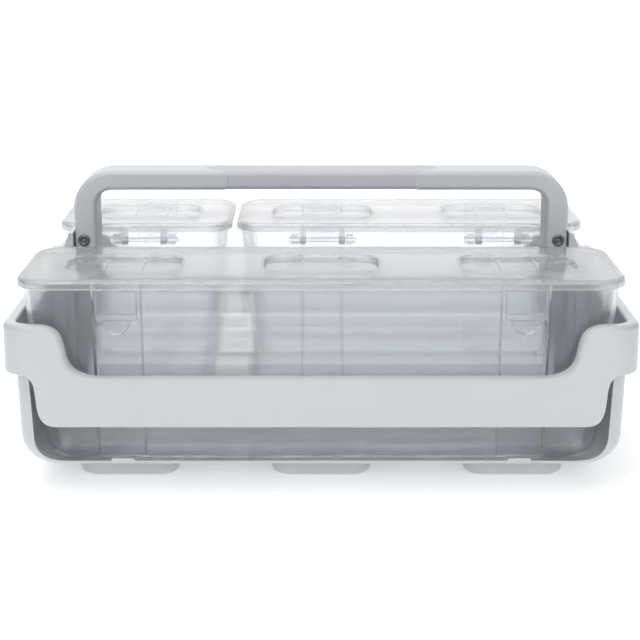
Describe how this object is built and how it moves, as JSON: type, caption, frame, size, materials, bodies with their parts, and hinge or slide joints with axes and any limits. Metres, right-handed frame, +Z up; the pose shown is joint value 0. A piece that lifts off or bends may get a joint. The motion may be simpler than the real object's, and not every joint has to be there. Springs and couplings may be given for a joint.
{
  "type": "art supply caddy",
  "caption": "White carry caddy with a slide-down handle and lift-out clear bins under frosted hinged lids, for art or craft supplies.",
  "frame": {"origin": "under the middle of the tub, in the plane of the feet's soles", "axes": "+X along the handle, +Y to the back row of bins, +Z up"},
  "size_m": [0.356, 0.267, 0.165],
  "materials": {
    "tub_plastic": "satin",
    "handle_plastic": "satin",
    "grip_plastic": "matte",
    "pin_steel": "satin",
    "bin_plastic": "glossy",
    "lid_plastic": "frosted",
    "latch_plastic": "glossy"
  },
  "bodies": {
    "caddy": {"caddy_tub": "tub_plastic"},
    "handle": {"handle": "handle_plastic", "handle_grip": "grip_plastic", "handle_pin_left": "pin_steel", "handle_pin_right": "pin_steel"},
    "large_bin": {"large_bin": "bin_plastic", "large_hinge_pin_left": "bin_plastic", "large_hinge_pin_middle": "bin_plastic", "large_hinge_pin_right": "bin_plastic"},
    "large_lid": {"large_lid": "lid_plastic"},
    "large_latch_left": {"large_latch_left": "latch_plastic"},
    "large_latch_right": {"large_latch_right": "latch_plastic"},
    "medium_bin": {"medium_bin": "bin_plastic", "medium_hinge_pin_left": "bin_plastic", "medium_hinge_pin_right": "bin_plastic"},
    "medium_lid": {"medium_lid": "lid_plastic"},
    "medium_latch_left": {"medium_latch_left": "latch_plastic"},
    "medium_latch_right": {"medium_latch_right": "latch_plastic"},
    "small_bin": {"small_bin": "bin_plastic", "small_hinge_pin": "bin_plastic"},
    "small_lid": {"small_lid": "lid_plastic"},
    "small_latch": {"small_latch": "latch_plastic"}
  },
  "joints": [
    {"name": "handle_slide", "type": "slide", "parent": "caddy", "child": "handle", "axis": [0, 0, 1], "range_m": [-0.04, 0]},
    {"name": "large_bin_lift", "type": "slide", "parent": "caddy", "child": "large_bin", "axis": [0, 0, 1], "range_m": [0, 0.11]},
    {"name": "large_lid_hinge", "type": "hinge", "parent": "large_bin", "child": "large_lid", "pos_m": [0, -0.0335, 0.113], "axis": [-1, 0, 0], "range_deg": [0, 95]},
    {"name": "large_latch_left_flex", "type": "hinge", "parent": "large_lid", "child": "large_latch_left", "pos_m": [-0.1133, -0.1289, 0.1172], "axis": [-1, 0, 0], "range_deg": [0, 20], "stiffness_Nm_per_rad": 0.05},
    {"name": "large_latch_right_flex", "type": "hinge", "parent": "large_lid", "child": "large_latch_right", "pos_m": [0.1133, -0.1289, 0.1172], "axis": [-1, 0, 0], "range_deg": [0, 20], "stiffness_Nm_per_rad": 0.05},
    {"name": "medium_bin_lift", "type": "slide", "parent": "caddy", "child": "medium_bin", "axis": [0, 0, 1], "range_m": [0, 0.11]},
    {"name": "medium_lid_hinge", "type": "hinge", "parent": "medium_bin", "child": "medium_lid", "pos_m": [0.05745, 0.0335, 0.113], "axis": [1, 0, 0], "range_deg": [0, 95]},
    {"name": "medium_latch_left_flex", "type": "hinge", "parent": "medium_lid", "child": "medium_latch_left", "pos_m": [0.1141, 0.1289, 0.1172], "axis": [1, 0, 0], "range_deg": [0, 20], "stiffness_Nm_per_rad": 0.05},
    {"name": "medium_latch_right_flex", "type": "hinge", "parent": "medium_lid", "child": "medium_latch_right", "pos_m": [0.0008, 0.1289, 0.1172], "axis": [1, 0, 0], "range_deg": [0, 20], "stiffness_Nm_per_rad": 0.05},
    {"name": "small_bin_lift", "type": "slide", "parent": "caddy", "child": "small_bin", "axis": [0, 0, 1], "range_m": [0, 0.11]},
    {"name": "small_lid_hinge", "type": "hinge", "parent": "small_bin", "child": "small_lid", "pos_m": [-0.11395, 0.0335, 0.113], "axis": [1, 0, 0], "range_deg": [0, 95]},
    {"name": "small_latch_flex", "type": "hinge", "parent": "small_lid", "child": "small_latch", "pos_m": [-0.11395, 0.1289, 0.1172], "axis": [1, 0, 0], "range_deg": [0, 20], "stiffness_Nm_per_rad": 0.05}
  ]
}
